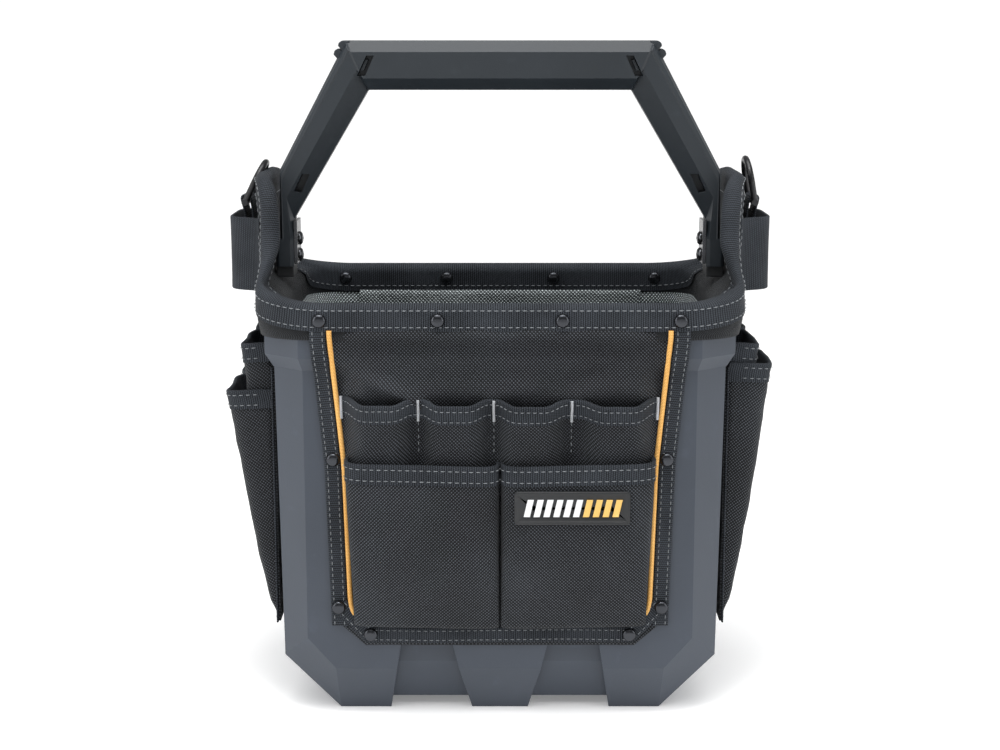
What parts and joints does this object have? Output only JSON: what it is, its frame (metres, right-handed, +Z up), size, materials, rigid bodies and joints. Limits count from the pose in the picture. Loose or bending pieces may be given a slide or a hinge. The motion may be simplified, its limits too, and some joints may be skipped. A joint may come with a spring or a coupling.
{
  "type": "tool bucket organizer",
  "caption": "Rectangular open-top tool bucket: moulded tub in a fabric cover with outside pockets, tool slots, hammer loops, D-rings and a rigid bow handle.",
  "frame": {"origin": "on the ground, centred under the middle foot of the tub", "axes": "+Z up, +X to the right of someone facing the front pockets, -Y out of the front"},
  "size_m": [0.436, 0.2862, 0.512],
  "materials": {
    "tub_plastic": "moulded, fine grain",
    "handle_plastic": "moulded, fine grain",
    "pocket_fabric": "ballistic weave",
    "collar_fabric": "ballistic weave, padded",
    "webbing": "ribbed nylon webbing",
    "lining_fabric": "coarse basket weave",
    "piping": "woven cord edge",
    "rivet_metal": "satin black",
    "black_steel": "satin black",
    "bolt_steel": "dark zinc",
    "badge_rubber": "moulded",
    "board": "sheet"
  },
  "bodies": {
    "bucket": {"body_shell": "tub_plastic", "base_board": "board", "liner": "lining_fabric", "inner_pocket": "lining_fabric", "collar": "collar_fabric", "badge": "badge_rubber", "rim_rivets": "rivet_metal", "handle_front_shell": "handle_plastic", "handle_back_shell": "handle_plastic", "handle_bolts": "bolt_steel", "handle_nuts": "bolt_steel", "front_rim_band": "webbing", "front_panel": "pocket_fabric", "front_panel_trim": "webbing", "front_tool_slots": "pocket_fabric", "front_tool_binding": "webbing", "front_panel_rivets": "rivet_metal", "front_piping_left": "piping", "front_pocket_left": "pocket_fabric", "front_pocket_binding_left": "webbing", "front_piping_right": "piping", "front_pocket_right": "pocket_fabric", "front_pocket_binding_right": "webbing", "back_rim_band": "webbing", "back_panel": "pocket_fabric", "back_panel_trim": "webbing", "back_tool_slots": "pocket_fabric", "back_tool_binding": "webbing", "back_panel_rivets": "rivet_metal", "back_piping_left": "piping", "back_pocket_left": "pocket_fabric", "back_pocket_binding_left": "webbing", "back_piping_right": "piping", "back_pocket_right": "pocket_fabric", "back_pocket_binding_right": "webbing", "left_side_panel": "pocket_fabric", "left_side_trim": "webbing", "left_upper_pocket_front": "pocket_fabric", "left_outer_pocket_front": "pocket_fabric", "left_upper_pocket_rear": "pocket_fabric", "left_outer_pocket_rear": "pocket_fabric", "handle_plate_left": "black_steel", "side_board_left": "board", "d_ring_tab_left": "webbing", "hammer_loop_left": "webbing", "right_side_panel": "pocket_fabric", "right_side_trim": "webbing", "right_upper_pocket_front": "pocket_fabric", "right_outer_pocket_front": "pocket_fabric", "right_upper_pocket_rear": "pocket_fabric", "right_outer_pocket_rear": "pocket_fabric", "handle_plate_right": "black_steel", "side_board_right": "board", "d_ring_tab_right": "webbing", "hammer_loop_right": "webbing"},
    "ring_left": {"d_ring_left": "black_steel"},
    "ring_right": {"d_ring_right": "black_steel"}
  },
  "joints": [
    {"name": "ring_left_swing", "type": "hinge", "parent": "bucket", "child": "ring_left", "pos_m": [-0.2, 0, 0.387], "axis": [0, -1, 0], "range_deg": [0, 118]},
    {"name": "ring_right_swing", "type": "hinge", "parent": "bucket", "child": "ring_right", "pos_m": [0.2, 0, 0.387], "axis": [0, 1, 0], "range_deg": [0, 102]}
  ]
}
